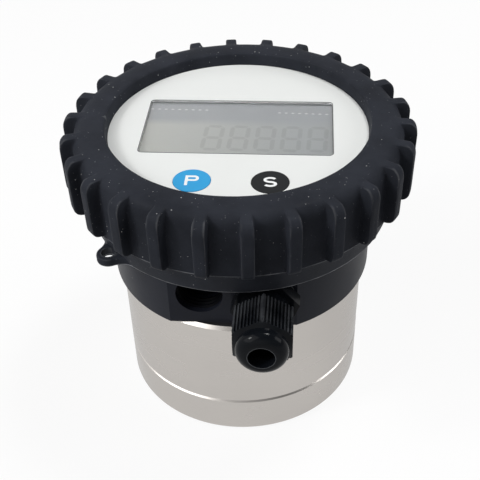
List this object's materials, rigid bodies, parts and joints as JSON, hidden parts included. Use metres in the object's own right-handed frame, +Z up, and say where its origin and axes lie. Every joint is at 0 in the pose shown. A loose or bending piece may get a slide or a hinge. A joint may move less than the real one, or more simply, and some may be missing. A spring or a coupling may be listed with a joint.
{
  "type": "oval gear flow meter",
  "caption": "Round oval gear flow meter: stainless base with side ports, black register with a cable gland, display facia with round keys, and a ribbed rubber boot with an eyelet.",
  "frame": {"origin": "centre of the base's underside, on the meter's vertical axis", "axes": "+Z up through the facia, -Y towards the cable entries (the reader's side), +X to the facia's right"},
  "size_m": [0.108, 0.1161, 0.0971],
  "materials": {
    "stainless": "satin, turned",
    "seal_rubber": "matte",
    "rotor_plastic": "moulded",
    "bush_carbon": "fine, dark",
    "magnet_nickel": "plated",
    "housing_plastic": "fine grain, moulded",
    "bezel_plastic": "moulded",
    "gland_plastic": "glossy, moulded",
    "circuit_board": "solder mask",
    "chip_black": "moulded",
    "lead_sheath": "smooth",
    "terminal_plastic": "moulded",
    "cell_sleeve": "plain sleeve",
    "facia_white": "printed sheet, plain",
    "window_clear": "clear",
    "lcd_grey": "display glass",
    "key_blue": "satin",
    "key_grey": "satin",
    "boot_rubber": "matte, dusty"
  },
  "bodies": {
    "meter": {"bottom_cover": "stainless", "meter_body": "stainless", "cover_screws": "stainless", "housing_screws": "stainless", "sensor_screws": "stainless", "bezel_screws": "stainless", "board_screws": "stainless", "drive_shaft": "stainless", "idler_shaft": "stainless", "cover_o_ring": "seal_rubber", "housing_o_ring": "seal_rubber", "bezel_gasket": "seal_rubber", "gland_seal": "seal_rubber", "gland_washer": "seal_rubber", "register_housing": "housing_plastic", "display_bezel": "bezel_plastic", "battery_holder": "bezel_plastic", "lcd_frame": "bezel_plastic", "gland_body": "gland_plastic", "gland_nut": "gland_plastic", "sensor_board": "circuit_board", "display_board": "circuit_board", "sensor_chips": "chip_black", "key_switches": "chip_black", "sensor_lead": "lead_sheath", "terminal_block": "terminal_plastic", "battery_cell": "cell_sleeve", "facia_label": "facia_white", "display_window": "window_clear", "lcd_panel": "lcd_grey", "rubber_boot": "boot_rubber"},
    "drive_rotor": {"drive_rotor": "rotor_plastic", "drive_rotor_bush": "bush_carbon", "rotor_magnets": "magnet_nickel"},
    "idler_rotor": {"idler_rotor": "rotor_plastic", "idler_rotor_bush": "bush_carbon"},
    "program_key": {"program_key": "key_blue"},
    "select_key": {"select_key": "key_grey"}
  },
  "joints": [
    {"name": "drive_rotor_spin", "type": "hinge", "parent": "meter", "child": "drive_rotor", "pos_m": [0, -0.011, 0.0225], "axis": [0, 0, 1], "range_deg": [-15, 15]},
    {"name": "idler_rotor_spin", "type": "hinge", "parent": "meter", "child": "idler_rotor", "pos_m": [0, 0.011, 0.0225], "axis": [0, 0, 1], "range_deg": [-25, 25]},
    {"name": "program_key_press", "type": "slide", "parent": "meter", "child": "program_key", "axis": [0, 0, -1], "range_m": [0, 0.0004], "stiffness_N_per_m": 2000},
    {"name": "select_key_press", "type": "slide", "parent": "meter", "child": "select_key", "axis": [0, 0, -1], "range_m": [0, 0.0004], "stiffness_N_per_m": 2000}
  ],
  "couplings": [
    {"joint": "idler_rotor_spin", "follows": "drive_rotor_spin", "ratio": -1.6667}
  ]
}
